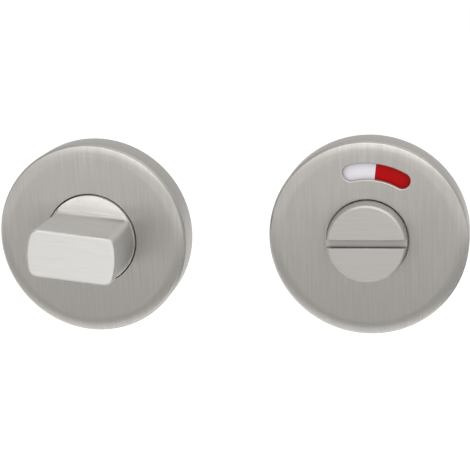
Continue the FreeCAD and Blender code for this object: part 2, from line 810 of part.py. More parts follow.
def indicator_disc():
    """The white disc behind the window, carried on the release head and driven by its peg."""
    body = new_body("indicator_disc")
    sketch = new_sketch(body, "disc_profile", level=disc_back)
    circle(sketch, disc_radius)
    circle(sketch, S["disc_hub_diameter"] / 2 + S["press_clearance"])
    pad(body, "disc_plate", sketch, S["disc_thickness"])
    sketch = new_sketch(body, "disc_peg_hole_profile", level=disc_front)
    circle(sketch, peg_radius + S["press_clearance"], ZERO, S["stop_radius"])
    pocket(body, "disc_peg_hole", sketch, S["disc_thickness"])
    sketch = new_sketch(body, "disc_red_profile", level=disc_front)
    red_sector(sketch)
    pocket(body, "disc_red_bed", sketch, S["red_depth"])
    return body


def red_field():
    """The red field that lies flush in the disc."""
    body = new_body("indicator_red_field")
    sketch = new_sketch(body, "red_profile", level=disc_front - S["red_depth"])
    red_sector(sketch)
    pad(body, "red_plate", sketch, S["red_depth"])
    return body


def build():
    """Make every piece of both halves, stood in its place, and return them."""
    release_x = S["centre_spacing"]
    turn_angle = S["turn_rest_angle"]
    release_angle = S["release_rest_angle"]
    still_turn = [
        rose_cover("turn_rose_cover", foot_radius + S["turn_gap"]),
        base_plate("turn_base_plate"),
        bush("turn_bush"),
    ]
    turning = [thumb_turn(), spindle(), spring_pin()]
    turning += [disc_spring("turn_disc_spring"), circlip("turn_circlip")]
    window_cover = rose_cover("release_rose_cover", release_radius + S["release_gap"])
    cut_window(window_cover)
    still_release = [window_cover, base_plate("release_base_plate"), bush("release_bush")]
    releasing = [release_head(), indicator_disc(), red_field()]
    releasing += [disc_spring("release_disc_spring"), circlip("release_circlip")]
    for body in still_turn:
        place(body)
    for body in turning:
        place(body, ZERO, turn_angle)
    for body in still_release:
        place(body, release_x)
    for body in releasing:
        place(body, release_x, release_angle)
    screws = screw_pair("turn", ZERO) + screw_pair("release", release_x)
    doc.recompute()
    return still_turn + turning + still_release + releasing + screws


def check_and_export(pieces):
    """Stop on any object that did not compute, then write each piece's solid."""
    for item in doc.Objects:
        if "Invalid" in item.State or "Error" in item.State:
            raise RuntimeError(item.Name + " did not compute")
    os.makedirs("parts", exist_ok=True)
    for piece in pieces:
        shape = piece.Shape
        if shape.isNull() or not shape.isValid() or not shape.Solids:
            raise RuntimeError(piece.Name + " has no sound shape")
        shape.exportStep(os.path.join("parts", piece.Name + ".step"))


check_and_export(build())
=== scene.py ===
import json
import math

import bmesh
import bpy
from mathutils import Matrix, Quaternion, Vector


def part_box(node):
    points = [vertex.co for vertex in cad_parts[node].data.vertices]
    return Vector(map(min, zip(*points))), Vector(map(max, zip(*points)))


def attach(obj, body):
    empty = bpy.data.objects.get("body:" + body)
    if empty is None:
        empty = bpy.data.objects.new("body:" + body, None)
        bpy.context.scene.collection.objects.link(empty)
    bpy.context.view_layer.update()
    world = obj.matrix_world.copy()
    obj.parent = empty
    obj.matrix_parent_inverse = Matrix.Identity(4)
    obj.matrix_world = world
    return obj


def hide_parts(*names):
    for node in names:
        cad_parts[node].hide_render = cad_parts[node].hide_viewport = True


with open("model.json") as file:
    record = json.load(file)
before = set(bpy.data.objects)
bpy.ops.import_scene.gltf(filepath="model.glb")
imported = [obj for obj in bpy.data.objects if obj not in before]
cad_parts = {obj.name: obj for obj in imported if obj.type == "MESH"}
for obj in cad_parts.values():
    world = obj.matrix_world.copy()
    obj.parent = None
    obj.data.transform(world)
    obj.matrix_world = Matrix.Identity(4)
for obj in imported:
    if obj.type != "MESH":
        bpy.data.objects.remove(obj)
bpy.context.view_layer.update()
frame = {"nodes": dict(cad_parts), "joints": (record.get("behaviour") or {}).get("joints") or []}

bl_info = {
    "name": "Bathroom thumb turn lock",
    "version": (1, 0, 0),
    "blender": (4, 5, 0),
    "location": "3D View > Sidebar > Lock set",
    "description": "Builds the steel pieces, finishes and photo stage of a thumb turn lock set",
    "category": "Object",
}

GRAIN_MAP = "grain"
EDGE_MARK = "edge"

# Segments round a full turn, and steps along the shorter curves.
ROUND_STEPS = 256
ROLL_STEPS = 16
EDGE_STEPS = 8
CORNER_STEPS = 12
ARC_STEPS = 112
SIDE_STEPS = 8
CHORD_STEPS = 12
WINDOW_STEPS = 48
WINDOW_END_STEPS = 20
PEG_STEPS = 32
BAR_STEPS = 12
BAR_CORNER_STEPS = 4
SCREW_STEPS = 48
HOLE_STEPS = 48
PITCH_STEPS = 8

# Degrees at which the second row of points lies on the release head's rounded edge.
HEAD_EDGE_START = 9.0

# The screw's blunt tip, and the steepness and depth of its thread.
BLUNT_POINT = 0.04
CREST_SLOPE = 4.4
CREST_DROP = 1.2

# Shares of its length and width to which the cross recess narrows at its floor.
DRIVE_FLOOR_LENGTH = 0.55
DRIVE_FLOOR_WIDTH = 0.8

# Share of the shank's radius that the cross hole's cutter reaches to each side.
DRILL_REACH = 1.5

# Edges that bend more than this stay sharp in the shading.
SHARP_ANGLE = math.radians(32.0)

# Faces whose normal lies this much along the axis are brushed straight, the others round the axis.
FACE_LEAN = 0.7

# Directions of the lines on a piece's brushed front.
UPRIGHT = (0.0, 1.0, 0.0)
LEVEL = (1.0, 0.0, 0.0)
WHITE = (1.0, 1.0, 1.0, 1.0)


def mm(value):
    return value / 1000.0


# Edges of this radius or tighter look fully rubbed.
EDGE_REACH = mm(0.15)

# Shortest edge that the bend is measured over, and distance within which points are joined.
FINEST_EDGE = mm(0.001)
WELD_REACH = mm(0.0005)

# Narrow flat bands beside rounded edges, which keep the shading of the faces flat.
RIM_BAND = mm(0.12)
HOLE_BAND = mm(0.08)
WINDOW_BAND = mm(0.06)
GRIP_BAND = mm(0.15)
HEAD_BAND = mm(0.1)
FOOT_BAND = mm(0.02)

# Tones of brushed steel beside its own colour, and how far the tone of its flanks swings.
RUBBED_TONE = 1.25
# Painted shade on the coin slot's walls, as a share of the steel's own colour.
SLOT_SHADE_TONE = 0.35
PATCH_TONE = 1.02
FLANK_SWING = 0.06

# How much more than its mottling a finish without brushing brightens where it is rubbed.
RUBBED_CONTRAST = 3.0

# Swing of the roughness, what rubbing takes off it, and the relief of lines, scratches and pits.
GLOSS_SWING = 0.05
RUBBED_GLOSS = 0.06
SCRATCH_DEPTH = 0.5
LINE_RELIEF = mm(0.012)
LINE_STRENGTH = 0.35
PIT_STRENGTH = 0.5

# Turn of the gloss from along the lines to across them.
QUARTER_TURN = 0.25


def spread(start, end, steps):
    """Evenly spaced values from start to end, both kept."""
    return [start + (end - start) * i / steps for i in range(steps + 1)]


ROUND = spread(0.0, math.tau, ROUND_STEPS)[:-1]

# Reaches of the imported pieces: the front is towards -Y.
cover_low, cover_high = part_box("turn_rose_cover")
ROSE_RADIUS = (cover_high[0] - cover_low[0]) / 2
ROSE_HEIGHT = cover_high[1] - cover_low[1]
TURN_FRONT = -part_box("thumb_turn")[0][1]
SHANK_TAIL = -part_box("thumb_turn")[1][1]
HEAD_FRONT = -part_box("release_head")[0][1]
SPINDLE_TIP = -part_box("turn_spindle")[1][1]
SPINDLE_END = -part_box("turn_spindle")[0][1]
SCREW_TOP = -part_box("turn_screw_left")[0][1]
SCREW_TIP = -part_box("turn_screw_left")[1][1]
HINGES = {joint["name"]: joint for joint in frame["joints"]}
RELEASE_X = HINGES["release_hinge"]["pos_m"][0]


def rest_angle(hinge):
    """A turning piece stands at the middle of its travel at zero, so its range tells where it rests."""
    return -math.radians(sum(HINGES[hinge]["range_deg"]) / 2)


def length(name, description, value):
    """A property for a size, given in millimetres."""
    return bpy.props.FloatProperty(
        name=name, description=description, default=mm(value), precision=5, unit="LENGTH")


def angle(name, description, value):
    """A property for an angle, given in degrees."""
    return bpy.props.FloatProperty(
        name=name, description=description, default=math.radians(value), subtype="ANGLE")


def number(name, description, value):
    """A property for a plain number."""
    return bpy.props.FloatProperty(name=name, description=description, default=value)


def colour(name, description, value):
    """A property for a colour."""
    return bpy.props.FloatVectorProperty(
        name=name, description=description, default=value, size=3, min=0.0, max=1.0, subtype="COLOR")


class RoseSizes(bpy.types.PropertyGroup):
    """Sizes of the two rose covers."""

    rim_roll: length("Rim roll", "Width of the arc in which the face falls to the wall", 3.7)
    rim_drop: length("Rim drop", "How far that arc falls", 0.62)
    rim_facet: length("Rim facet", "Chamfer between the arc and the wall", 0.6)
    rim_crease: length("Rim crease", "Rounding of the crease over the facet", 0.12)
    rim_shoulder: length("Rim shoulder", "Rounding between the facet and the wall", 0.45)
    foot_edge: length("Foot edge", "Rounding of the skirt's lower edge", 0.2)
    wall: length("Wall", "Thickness of the drawn sheet", 1.2)
    hole_edge: length("Hole edge", "Rounding of the hole in the face", 0.15)
    turn_hole: length("Turn hole", "Radius of the hole round the thumb turn", 12.55)
    release_hole: length("Release hole", "Radius of the hole round the release head", 10.7)
    groove_low: length("Groove low", "Lower edge of the snap groove", 1.4)
    groove_high: length("Groove high", "Upper edge of the snap groove", 2.6)
    groove_radius: length("Groove radius", "Radius of the snap groove", 25.25)
    window_radius: length("Window radius", "Radius of the window's middle line", 18.0)
    window_width: length("Window width", "Width of the window", 4.25)
    window_span: angle("Window span", "Angle between the centres of the window's ends", 43.2)
    window_angle: angle("Window angle", "Middle of the window, clockwise from the top", 9.2)
    window_edge: length("Window edge", "Rounding of the window's edge", 0.25)


class TurnSizes(bpy.types.PropertyGroup):
    """Sizes of the thumb turn."""

    foot_radius: length("Foot radius", "Radius of the round foot", 12.2)
    foot_floor: length("Foot floor", "Level of the foot's flat floor", 9.8)
    foot_edge: length("Foot edge", "Rounding of the foot's rim", 0.06)
    foot_fillet: length("Foot fillet", "Radius in which the flanks run into the floor", 1.6)
    foot_corner: length("Foot corner", "Corner radius of the grip at the floor", 0.6)
    grip_radius: length("Grip radius", "Radius of the grip's round ends", 12.0)
    grip_thickness: length("Grip thickness", "Distance between the grip's flanks", 12.8)
    grip_corner: length("Grip corner", "Radius between flank and end", 1.9)
    front_corner: length("Front corner", "Radius between flank and end at the front", 2.3)
    front_bow: length("Front bow", "Radius of the bow of the grip's ends at the front", 18.0)
    grip_edge: length("Grip edge", "Rounding of the front edge", 0.6)


class ReleaseSizes(bpy.types.PropertyGroup):
    """Sizes of the release head."""

    head_radius: length("Head radius", "Radius of the head", 10.4)
    head_edge: length("Head edge", "Rounding of the front edge", 0.9)
    slot_width: length("Slot width", "Width of the coin slot", 2.2)
    slot_depth: length("Slot depth", "Depth of the coin slot", 2.0)
    slot_edge: length("Slot edge", "Rounding of the slot's edges", 0.08)
    hub_radius: length("Hub radius", "Radius of the hub that carries the disc", 7.5)
    hub_front: length("Hub front", "Level where the hub meets the head", 7.4)


class ShankSizes(bpy.types.PropertyGroup):
    """Sizes that both turning pieces share, and those of the spindle."""

    shank_radius: length("Shank radius", "Radius of the shank", 5.0)
    shank_chamfer: length("Shank chamfer", "Chamfer at the shank's tail", 0.5)
    shank_top: length("Shank top", "Level where the shank meets its head", 6.15)
    clip_low: length("Clip low", "Lower edge of the circlip's groove", 0.7)
    clip_high: length("Clip high", "Upper edge of the circlip's groove", 1.8)
    clip_radius: length("Clip radius", "Radius of the circlip's groove", 4.8)
    peg_radius: length("Peg radius", "Radius of the stop peg", 1.0)
    peg_place: length("Peg place", "Distance of the stop peg from the axis", 9.1)
    peg_end: length("Peg end", "Level of the stop peg's end", 3.45)
    socket_width: length("Socket width", "Width of the square socket", 5.12)
    socket_end: length("Socket end", "Level of the socket's floor", 5.0)
    spindle_width: length("Spindle width", "Width of the square spindle", 5.0)
    spindle_edge: length("Spindle edge", "Rounding along the spindle", 0.25)
    spindle_chamfer: length("Spindle chamfer", "Chamfer at the spindle's tip", 0.6)
    pin_radius: length("Pin radius", "Radius of the cross hole", 1.02)
    pin_level: length("Pin level", "Depth of the cross hole behind the door face", 2.3)


class ScrewSizes(bpy.types.PropertyGroup):
    """Sizes of the fixing screws."""

    head_radius: length("Head radius", "Radius of the head", 3.5)
    head_height: length("Head height", "Height of the head", 2.2)
    head_edge: length("Head edge", "Rounding of the head", 0.7)
    neck_radius: length("Neck radius", "Radius of the neck", 1.5)
    thread_radius: length("Thread radius", "Radius over the thread", 1.75)
    core_radius: length("Core radius", "Radius of the core", 1.15)
    pitch: length("Pitch", "Pitch of the thread", 1.6)
    point: length("Point", "Length of the point", 3.0)
    drive_length: length("Drive length", "Length of the cross recess", 4.2)
    drive_width: length("Drive width", "Width of the cross recess", 1.0)
    drive_depth: length("Drive depth", "Depth of the cross recess", 1.2)


class FinishColours(bpy.types.PropertyGroup):
    """Colours of the finishes."""

    # The three steels are one satin stainless steel: the thumb turn's colour is painted lighter as painted
    # light, and the release head's a little darker as painted shade, beside the roses'.
    rose_steel: colour("Rose steel", "Satin steel of the roses", (0.484, 0.466, 0.438))
    turn_steel: colour("Turn steel", "Satin steel of the thumb turn", (0.66, 0.644, 0.622))
    release_steel: colour("Release steel", "Satin steel of the release head", (0.446, 0.43, 0.41))
    base_nylon: colour("Base nylon", "Black moulded nylon", (0.034, 0.034, 0.036))
    bush_nylon: colour("Bush nylon", "Natural acetal", (0.74, 0.72, 0.66))
    plated_steel: colour("Plated steel", "Bright zinc plate", (0.33, 0.337, 0.35))
    spring_steel: colour("Spring steel", "Dark phosphated spring steel", (0.09, 0.085, 0.08))
    white_plastic: colour("White plastic", "White of the indicator", (0.62, 0.61, 0.645))
    red_plastic: colour("Red plastic", "Red of the indicator", (0.36, 0.001, 0.002))


class StageSizes(bpy.types.PropertyGroup):
    """Camera, floor and lights of the stage."""

    camera_azimuth: angle("Camera azimuth", "Direction of the camera, towards +X", 11.8)
    camera_elevation: angle("Camera elevation", "Height of the camera over the horizon", 14.45)
    camera_roll: angle("Camera roll", "Turn of the camera about its own axis", -2.96)
    camera_distance: length("Camera distance", "Distance from the camera to its target", 376.0)
    target_across: length("Target across", "Place of the target along X", 37.76)
    target_height: length("Target height", "Place of the target along Z", -1.12)
    lens: number("Lens", "Focal length of the camera", 106.4)
    clip_start: length("Clip start", "Nearest distance that the camera sees", 10.0)
    floor_drop: length("Floor drop", "How far the floor lies below the axis", 280.0)
    floor_reach: length("Floor reach", "Half the width of the floor", 20000.0)
    floor_white: colour("Floor white", "Colour of the floor", (0.9, 0.9, 0.9))
    floor_glow: number("Floor glow", "Light that the floor gives off", 0.3)
    card_grey: colour("Card grey", "Colour of the cards that the steel mirrors", (0.41, 0.41, 0.41))
    card_reach: length("Card reach", "How far the cards reach to the sides", 1600.0)
    card_lift: length("Card lift", "How far the cards lie over the floor", 2.0)
    card_near: length("Card near", "Distance from the door face to the front card", 340.0)
    card_far: length("Card far", "Distance from the door face to the front card's far edge", 1150.0)
    side_start: length("Side start", "Where the side card starts along X", 250.0)
    side_front: length("Side front", "How far the side card reaches before the door face", 300.0)
    side_back: length("Side back", "How far the side card reaches behind the door face", 200.0)
    matt: number("Matt", "Roughness of floor and cards", 0.9)
    key_across: length("Key across", "Place of the key light along X", 500.0)
    key_front: length("Key front", "Distance of the key light from the door face", 1900.0)
    key_height: length("Key height", "Height of the key light", 1500.0)
    key_width: length("Key width", "Width of the key light", 3400.0)
    key_depth: length("Key depth", "Height of the key light's face", 2800.0)
    key_power: number("Key power", "Power of the key light in watts", 45.0)
    room_light: number("Room light", "Strength of the white surroundings", 0.75)


def arc(radius, angles, x=0.0, y=0.0):
    """Points of an arc about a centre."""
    return [(x + radius * math.cos(a), y + radius * math.sin(a)) for a in angles]


def loop(bm, points, level):
    """The points of a closed outline, at one level."""
    return [bm.verts.new((x, y, level)) for x, y in points]


def strip(bm, first, second):
    """Join two closed loops of as many points with four-sided faces."""
    for i in range(len(first)):
        bm.faces.new((first[i - 1], first[i], second[i], second[i - 1]))


def loft(bm, sections):
    """Join a row of closed loops."""
    for first, second in zip(sections, sections[1:]):
        strip(bm, first, second)


def cap(bm, *loops):
    """Fill the flat field inside the first loop and outside the others."""
    edges = []
    for closed in loops:
        for a, b in zip(closed, closed[1:] + closed[:1]):
            edges.append(bm.edges.get((a, b)) or bm.edges.new((a, b)))
    bmesh.ops.triangle_fill(bm, use_beauty=True, use_dissolve=False, edges=edges)


def lathe(bm, profile, angles=ROUND):
    """Turn a profile of radii and levels about the axis, and return its rings."""
    rings = [loop(bm, arc(radius, angles), level) for radius, level in profile]
    loft(bm, rings)
    return rings


def bend(across, level, radius, start, end, steps=EDGE_STEPS):
    """Points of an arc in a profile, by its centre, radius and directions in degrees."""
    return arc(radius, spread(math.radians(start), math.radians(end), steps), across, level)


def lay_grain(mesh, upright):
    """Map the brushing: straight over the front faces, round the axis on the others."""
    layer = mesh.uv_layers.new(name=GRAIN_MAP)
    for face in mesh.polygons:
        straight = abs(face.normal.z) > FACE_LEAN
        heading = math.atan2(face.center.y, face.center.x)
        reach = math.hypot(face.center.x, face.center.y)
        for index in face.loop_indices:
            x, y, z = mesh.vertices[mesh.loops[index].vertex_index].co
            turned = (math.atan2(y, x) - heading + math.pi) % math.tau - math.pi
            if not straight:
                layer.data[index].uv = (reach * (heading + turned), z)
            elif upright:
                layer.data[index].uv = (y, x)
            else:
                layer.data[index].uv = (x, y)


def mark_edges(mesh):
    """Store how tightly the surface bends outwards at each point, so that edges can look rubbed."""
    bends = [0.0] * len(mesh.vertices)
    for edge in mesh.edges:
        first, second = (mesh.vertices[i] for i in edge.vertices)
        reach = first.co - second.co
        for vertex, away in ((first, reach), (second, -reach)):
            bent = 2.0 * vertex.normal.dot(away) / max(away.length_squared, FINEST_EDGE ** 2)
            bends[vertex.index] = max(bends[vertex.index], bent)
    marks = mesh.attributes.new(EDGE_MARK, "FLOAT", "POINT")
    marks.data.foreach_set("value", [min(1.0, bent * EDGE_REACH) for bent in bends])


def stand(across, turned=0.0):
    """Stand a piece drawn along Z on the door face, with its front towards -Y."""
    place = Matrix.Translation((across, 0.0, 0.0))
    return place @ Matrix.Rotation(math.radians(90.0), 4, "X") @ Matrix.Rotation(turned, 4, "Z")


def make_object(name, bm, place):
    """Close up a mesh and put it in its place."""
    bmesh.ops.recalc_face_normals(bm, faces=bm.faces)
    mesh = bpy.data.meshes.new(name)
    bm.to_mesh(mesh)
    bm.free()
    piece = bpy.data.objects.new(name, mesh)
    bpy.context.collection.objects.link(piece)
    piece.matrix_world = place
    return piece


def drill(piece, radius, reach, level):
    """Cut a round hole across a piece, along its own X."""
    bm = bmesh.new()
    across = Matrix.Rotation(math.radians(90.0), 4, "Y") @ Matrix.Rotation(math.pi / HOLE_STEPS, 4, "Z")
    bmesh.ops.create_cone(
        bm, cap_ends=True, segments=HOLE_STEPS, radius1=radius, radius2=radius, depth=reach * 2,
        matrix=Matrix.Translation((0.0, 0.0, level)) @ across)
    cutter = make_object("cross_hole", bm, piece.matrix_world)
    cut = piece.modifiers.new("cross_hole", "BOOLEAN")
    cut.operation = "DIFFERENCE"
    cut.solver = "EXACT"
    cut.object = cutter
    bpy.context.view_layer.update()
    evaluated = piece.evaluated_get(bpy.context.evaluated_depsgraph_get())
    drilled = bpy.data.meshes.new_from_object(evaluated)
    piece.modifiers.clear()
    plain = piece.data
    piece.data = drilled
    drilled.name = plain.name
    bpy.data.meshes.remove(plain)
    bpy.data.objects.remove(cutter)


def dress(piece, material, body, node, upright=False):
    """Smooth a piece, give it its finish and put it in the place of its CAD node."""
    piece.data.shade_smooth()
    piece.data.set_sharp_from_angle(angle=SHARP_ANGLE)
    lay_grain(piece.data, upright)
    mark_edges(piece.data)
    piece.data.materials.clear()
    piece.data.materials.append(material)
    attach(piece, body)
    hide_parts(node)


# Shader groups that several finishes share.

def add(tree, kind, **values):
    """Add a node and set its inputs, or its own settings where it has no such input."""
    node = tree.nodes.new(kind)
    for name, value in values.items():
        socket = node.inputs.get(name.replace("_", " ").title())
        if socket is not None and not hasattr(node, name):
            socket.default_value = value
        else:
            setattr(node, name, value)
    return node


def new_group(name, inputs, outputs):
    """A shader group with its sockets: inputs with a kind and a default, outputs with a kind."""
    tree = bpy.data.node_groups.new(name, "ShaderNodeTree")
    for label, (kind, default) in inputs.items():
        socket = tree.interface.new_socket(label, in_out="INPUT", socket_type=kind)
        if default is not None:
            socket.default_value = default
    for label, kind in outputs.items():
        tree.interface.new_socket(label, in_out="OUTPUT", socket_type=kind)
    return tree, tree.nodes.new("NodeGroupInput"), tree.nodes.new("NodeGroupOutput")


def set_inputs(node, values):
    for name, value in values.items():
        node.inputs[name].default_value = value


def use_group(tree, maker, vector, values=None):
    """Place a shared group, made at its first use, over a map."""
    node = tree.nodes.new("ShaderNodeGroup")
    node.node_tree = bpy.data.node_groups.get(GROUP_NAMES[maker]) or maker(GROUP_NAMES[maker])
    set_inputs(node, values or {})
    tree.links.new(vector, node.inputs["Vector"])
    return node.outputs


def lead(tree, value, socket):
    """Lead a socket or a plain value to an input."""
    if isinstance(value, bpy.types.NodeSocket):
        tree.links.new(value, socket)
    else:
        socket.default_value = value


def math_node(tree, operation, first, second=0.0):
    """A math node whose operands are sockets or numbers."""
    node = add(tree, "ShaderNodeMath", operation=operation)
    lead(tree, first, node.inputs[0])
    lead(tree, second, node.inputs[1])
    return node.outputs["Value"]


def noise(tree, vector, scale, detail, roughness=0.55):
    node = add(tree, "ShaderNodeTexNoise", scale=scale, detail=detail, roughness=roughness)
    tree.links.new(vector, node.inputs["Vector"])
    return node.outputs["Fac"]


def map_range(tree, value, low, high, to_low, to_high):
    node = add(tree, "ShaderNodeMapRange", clamp=True)
    set_inputs(node, {"From Min": low, "From Max": high, "To Min": to_low, "To Max": to_high})
    tree.links.new(value, node.inputs["Value"])
    return node.outputs["Result"]


def brushing_group(name):
    """Long fine lines along the map's first axis, with slow patches between them."""
    tree, given, out = new_group(
        name,
        {"Vector": ("NodeSocketVector", None), "Line Length": ("NodeSocketFloat", mm(18.0)),
         "Line Width": ("NodeSocketFloat", mm(0.5))},
        {"Lines": "NodeSocketFloat", "Scratches": "NodeSocketFloat", "Patches": "NodeSocketFloat"})
    stretch = tree.nodes.new("ShaderNodeCombineXYZ")
    tree.links.new(math_node(tree, "DIVIDE", 1.0, given.outputs["Line Length"]), stretch.inputs["X"])
    tree.links.new(math_node(tree, "DIVIDE", 1.0, given.outputs["Line Width"]), stretch.inputs["Y"])
    stretched = add(tree, "ShaderNodeVectorMath", operation="MULTIPLY")
    tree.links.new(given.outputs["Vector"], stretched.inputs[0])
    tree.links.new(stretch.outputs["Vector"], stretched.inputs[1])
    lines = noise(tree, stretched.outputs["Vector"], 1.0, 4.0, 0.62)
    fine = noise(tree, stretched.outputs["Vector"], 2.7, 3.0, 0.7)
    tree.links.new(map_range(tree, lines, 0.25, 0.75, 0.0, 1.0), out.inputs["Lines"])
    tree.links.new(map_range(tree, fine, 0.62, 0.8, 0.0, 1.0), out.inputs["Scratches"])
    tree.links.new(noise(tree, given.outputs["Vector"], 110.0, 2.0), out.inputs["Patches"])
    return tree


def wear_group(name):
    """A mask that is bright along outer edges, broken up by a noise."""
    tree, given, out = new_group(name, {"Vector": ("NodeSocketVector", None)}, {"Edges": "NodeSocketFloat"})
    marked = add(tree, "ShaderNodeAttribute", attribute_name=EDGE_MARK).outputs["Fac"]
    broken = map_range(tree, noise(tree, given.outputs["Vector"], 900.0, 3.0), 0.3, 0.7, 0.35, 1.0)
    tree.links.new(math_node(tree, "MULTIPLY", marked, broken), out.inputs["Edges"])
    return tree


def skin_group(name):
    """The fine texture of a moulded or plated surface, with slow mottling."""
    tree, given, out = new_group(
        name,
        {"Vector": ("NodeSocketVector", None), "Scale": ("NodeSocketFloat", 3000.0)},
        {"Pits": "NodeSocketFloat", "Mottle": "NodeSocketFloat"})
    pits = add(tree, "ShaderNodeTexNoise", detail=3.0, roughness=0.6)
    tree.links.new(given.outputs["Vector"], pits.inputs["Vector"])
    tree.links.new(given.outputs["Scale"], pits.inputs["Scale"])
    tree.links.new(pits.outputs["Fac"], out.inputs["Pits"])
    slow = noise(tree, given.outputs["Vector"], 160.0, 3.0)
    tree.links.new(map_range(tree, slow, 0.3, 0.7, 0.0, 1.0), out.inputs["Mottle"])
    return tree


GROUP_NAMES = {brushing_group: "Brushing", wear_group: "Edge wear", skin_group: "Surface skin"}


def new_material(name):
    """A material with its shader ready to be wired."""
    material = bpy.data.materials.new(name)
    material.use_nodes = True
    tree = material.node_tree
    return material, tree, tree.nodes["Principled BSDF"]


def shade(base, factor):
    return tuple(min(1.0, channel * factor) for channel in base) + (1.0,)


def mix_colour(tree, factor, first, second):
    """Mix two colours, given as values or sockets, by a mask."""
    node = add(tree, "ShaderNodeMix", data_type="RGBA")
    tree.links.new(factor, node.inputs["Factor"])
    lead(tree, first, node.inputs[6])
    lead(tree, second, node.inputs[7])
    return node.outputs[2]


def wire_bump(tree, shader, height, distance, strength):
    bump = add(tree, "ShaderNodeBump", strength=strength, distance=distance)
    tree.links.new(height, bump.inputs["Height"])
    tree.links.new(bump.outputs["Normal"], shader.inputs["Normal"])


def facing_axis(tree):
    """One on faces that look straight to the front or the back, nought on upright walls."""
    facing = tree.nodes.new("ShaderNodeSeparateXYZ")
    tree.links.new(tree.nodes.new("ShaderNodeTexCoord").outputs["Normal"], facing.inputs["Vector"])
    return math_node(tree, "ABSOLUTE", facing.outputs["Z"])


def wire_tangent(tree, shader, along, facing):
    """Lead the gloss across the brushing: straight over the front faces, round the axis on the others."""
    straight = add(
        tree, "ShaderNodeVectorTransform", vector_type="VECTOR", convert_from="OBJECT", convert_to="WORLD")
    straight.inputs["Vector"].default_value = along
    around = add(tree, "ShaderNodeTangent", direction_type="RADIAL", axis="Z")
    picked = add(tree, "ShaderNodeMix", data_type="VECTOR")
    tree.links.new(math_node(tree, "GREATER_THAN", facing, FACE_LEAN), picked.inputs["Factor"])
    tree.links.new(around.outputs["Tangent"], picked.inputs[4])
    tree.links.new(straight.outputs["Vector"], picked.inputs[5])
    tree.links.new(picked.outputs[1], shader.inputs["Tangent"])


def slot_shade_mask(tree, place, facing, slot):
    """A mask on the walls of the coin slot, where painted shade darkens them."""
    half_width, floor = slot
    split = tree.nodes.new("ShaderNodeSeparateXYZ")
    tree.links.new(place, split.inputs["Vector"])
    inside = math_node(tree, "LESS_THAN", math_node(tree, "ABSOLUTE", split.outputs["Y"]), half_width)
    above = math_node(tree, "GREATER_THAN", split.outputs["Z"], floor)
    upright = map_range(tree, facing, 0.3, 0.6, 1.0, 0.0)
    return math_node(tree, "MULTIPLY", math_node(tree, "MULTIPLY", inside, above), upright)


def brushed_steel(name, base, along, line_length, line_width, roughness, anisotropy, flank_shade,
                  contrast=0.09, face=(0.62, 0.95), slot=None):
    """Satin steel: brushed lines in colour, gloss and relief, with edges rubbed brighter, painted shade on
    the flanks and walls, and, where a slot is given, painted shade on the coin slot's walls.
    """
    if name in bpy.data.materials:
        return bpy.data.materials[name]
    material, tree, shader = new_material(name)
    grain_map = add(tree, "ShaderNodeUVMap", uv_map=GRAIN_MAP).outputs["UV"]
    place = tree.nodes.new("ShaderNodeTexCoord").outputs["Object"]
    brushing = use_group(
        tree, brushing_group, grain_map, {"Line Length": line_length, "Line Width": line_width})
    rubbed = use_group(tree, wear_group, place)["Edges"]
    lines = brushing["Lines"]
    tone = mix_colour(tree, lines, shade(base, 1.0 - contrast), shade(base, 1.0 + contrast))
    tone = mix_colour(tree, brushing["Patches"], tone, shade(base, PATCH_TONE))
    facing = facing_axis(tree)
    # Painted shade: faces that turn away from the front take a darker tone, which fades in over the facing
    # range given by face.
    darker = shade(base, flank_shade * (1.0 - FLANK_SWING))
    lighter = shade(base, flank_shade * (1.0 + FLANK_SWING))
    flank = mix_colour(tree, lines, darker, lighter)
    tone = mix_colour(tree, map_range(tree, facing, face[0], face[1], 0.0, 1.0), flank, tone)
    if slot:
        # Painted shade darkens the walls of the coin slot.
        tone = mix_colour(tree, slot_shade_mask(tree, place, facing, slot), tone, shade(base, SLOT_SHADE_TONE))
    tone = mix_colour(tree, rubbed, tone, shade(base, RUBBED_TONE))
    tree.links.new(tone, shader.inputs["Base Color"])
    gloss = map_range(tree, lines, 0.0, 1.0, roughness + GLOSS_SWING, roughness - GLOSS_SWING)
    worn = math_node(tree, "MULTIPLY", rubbed, RUBBED_GLOSS)
    tree.links.new(math_node(tree, "SUBTRACT", gloss, worn), shader.inputs["Roughness"])
    scratched = math_node(tree, "MULTIPLY", brushing["Scratches"], SCRATCH_DEPTH)
    wire_bump(tree, shader, math_node(tree, "SUBTRACT", lines, scratched), LINE_RELIEF, LINE_STRENGTH)
    wire_tangent(tree, shader, along, facing)
    set_inputs(shader, {"Metallic": 1.0, "Anisotropic": anisotropy, "Anisotropic Rotation": QUARTER_TURN})
    return material


def skinned(name, base, roughness, metallic, skin_scale, relief, contrast, gleam=0.5):
    """A moulded, plated or phosphated finish: fine pits, slow mottling and rubbed edges."""
    if name in bpy.data.materials:
        return bpy.data.materials[name]
    material, tree, shader = new_material(name)
    place = tree.nodes.new("ShaderNodeTexCoord").outputs["Object"]
    skin = use_group(tree, skin_group, place, {"Scale": skin_scale})
    rubbed = use_group(tree, wear_group, place)["Edges"]
    tone = mix_colour(tree, skin["Mottle"], shade(base, 1.0 - contrast), shade(base, 1.0 + contrast))
    tone = mix_colour(tree, rubbed, tone, shade(base, 1.0 + contrast * RUBBED_CONTRAST))
    tree.links.new(tone, shader.inputs["Base Color"])
    gloss = map_range(tree, skin["Mottle"], 0.0, 1.0, roughness - GLOSS_SWING, roughness + GLOSS_SWING)
    tree.links.new(gloss, shader.inputs["Roughness"])
    wire_bump(tree, shader, skin["Pits"], relief, PIT_STRENGTH)
    set_inputs(shader, {"Metallic": metallic, "Specular IOR Level": gleam})
    return material
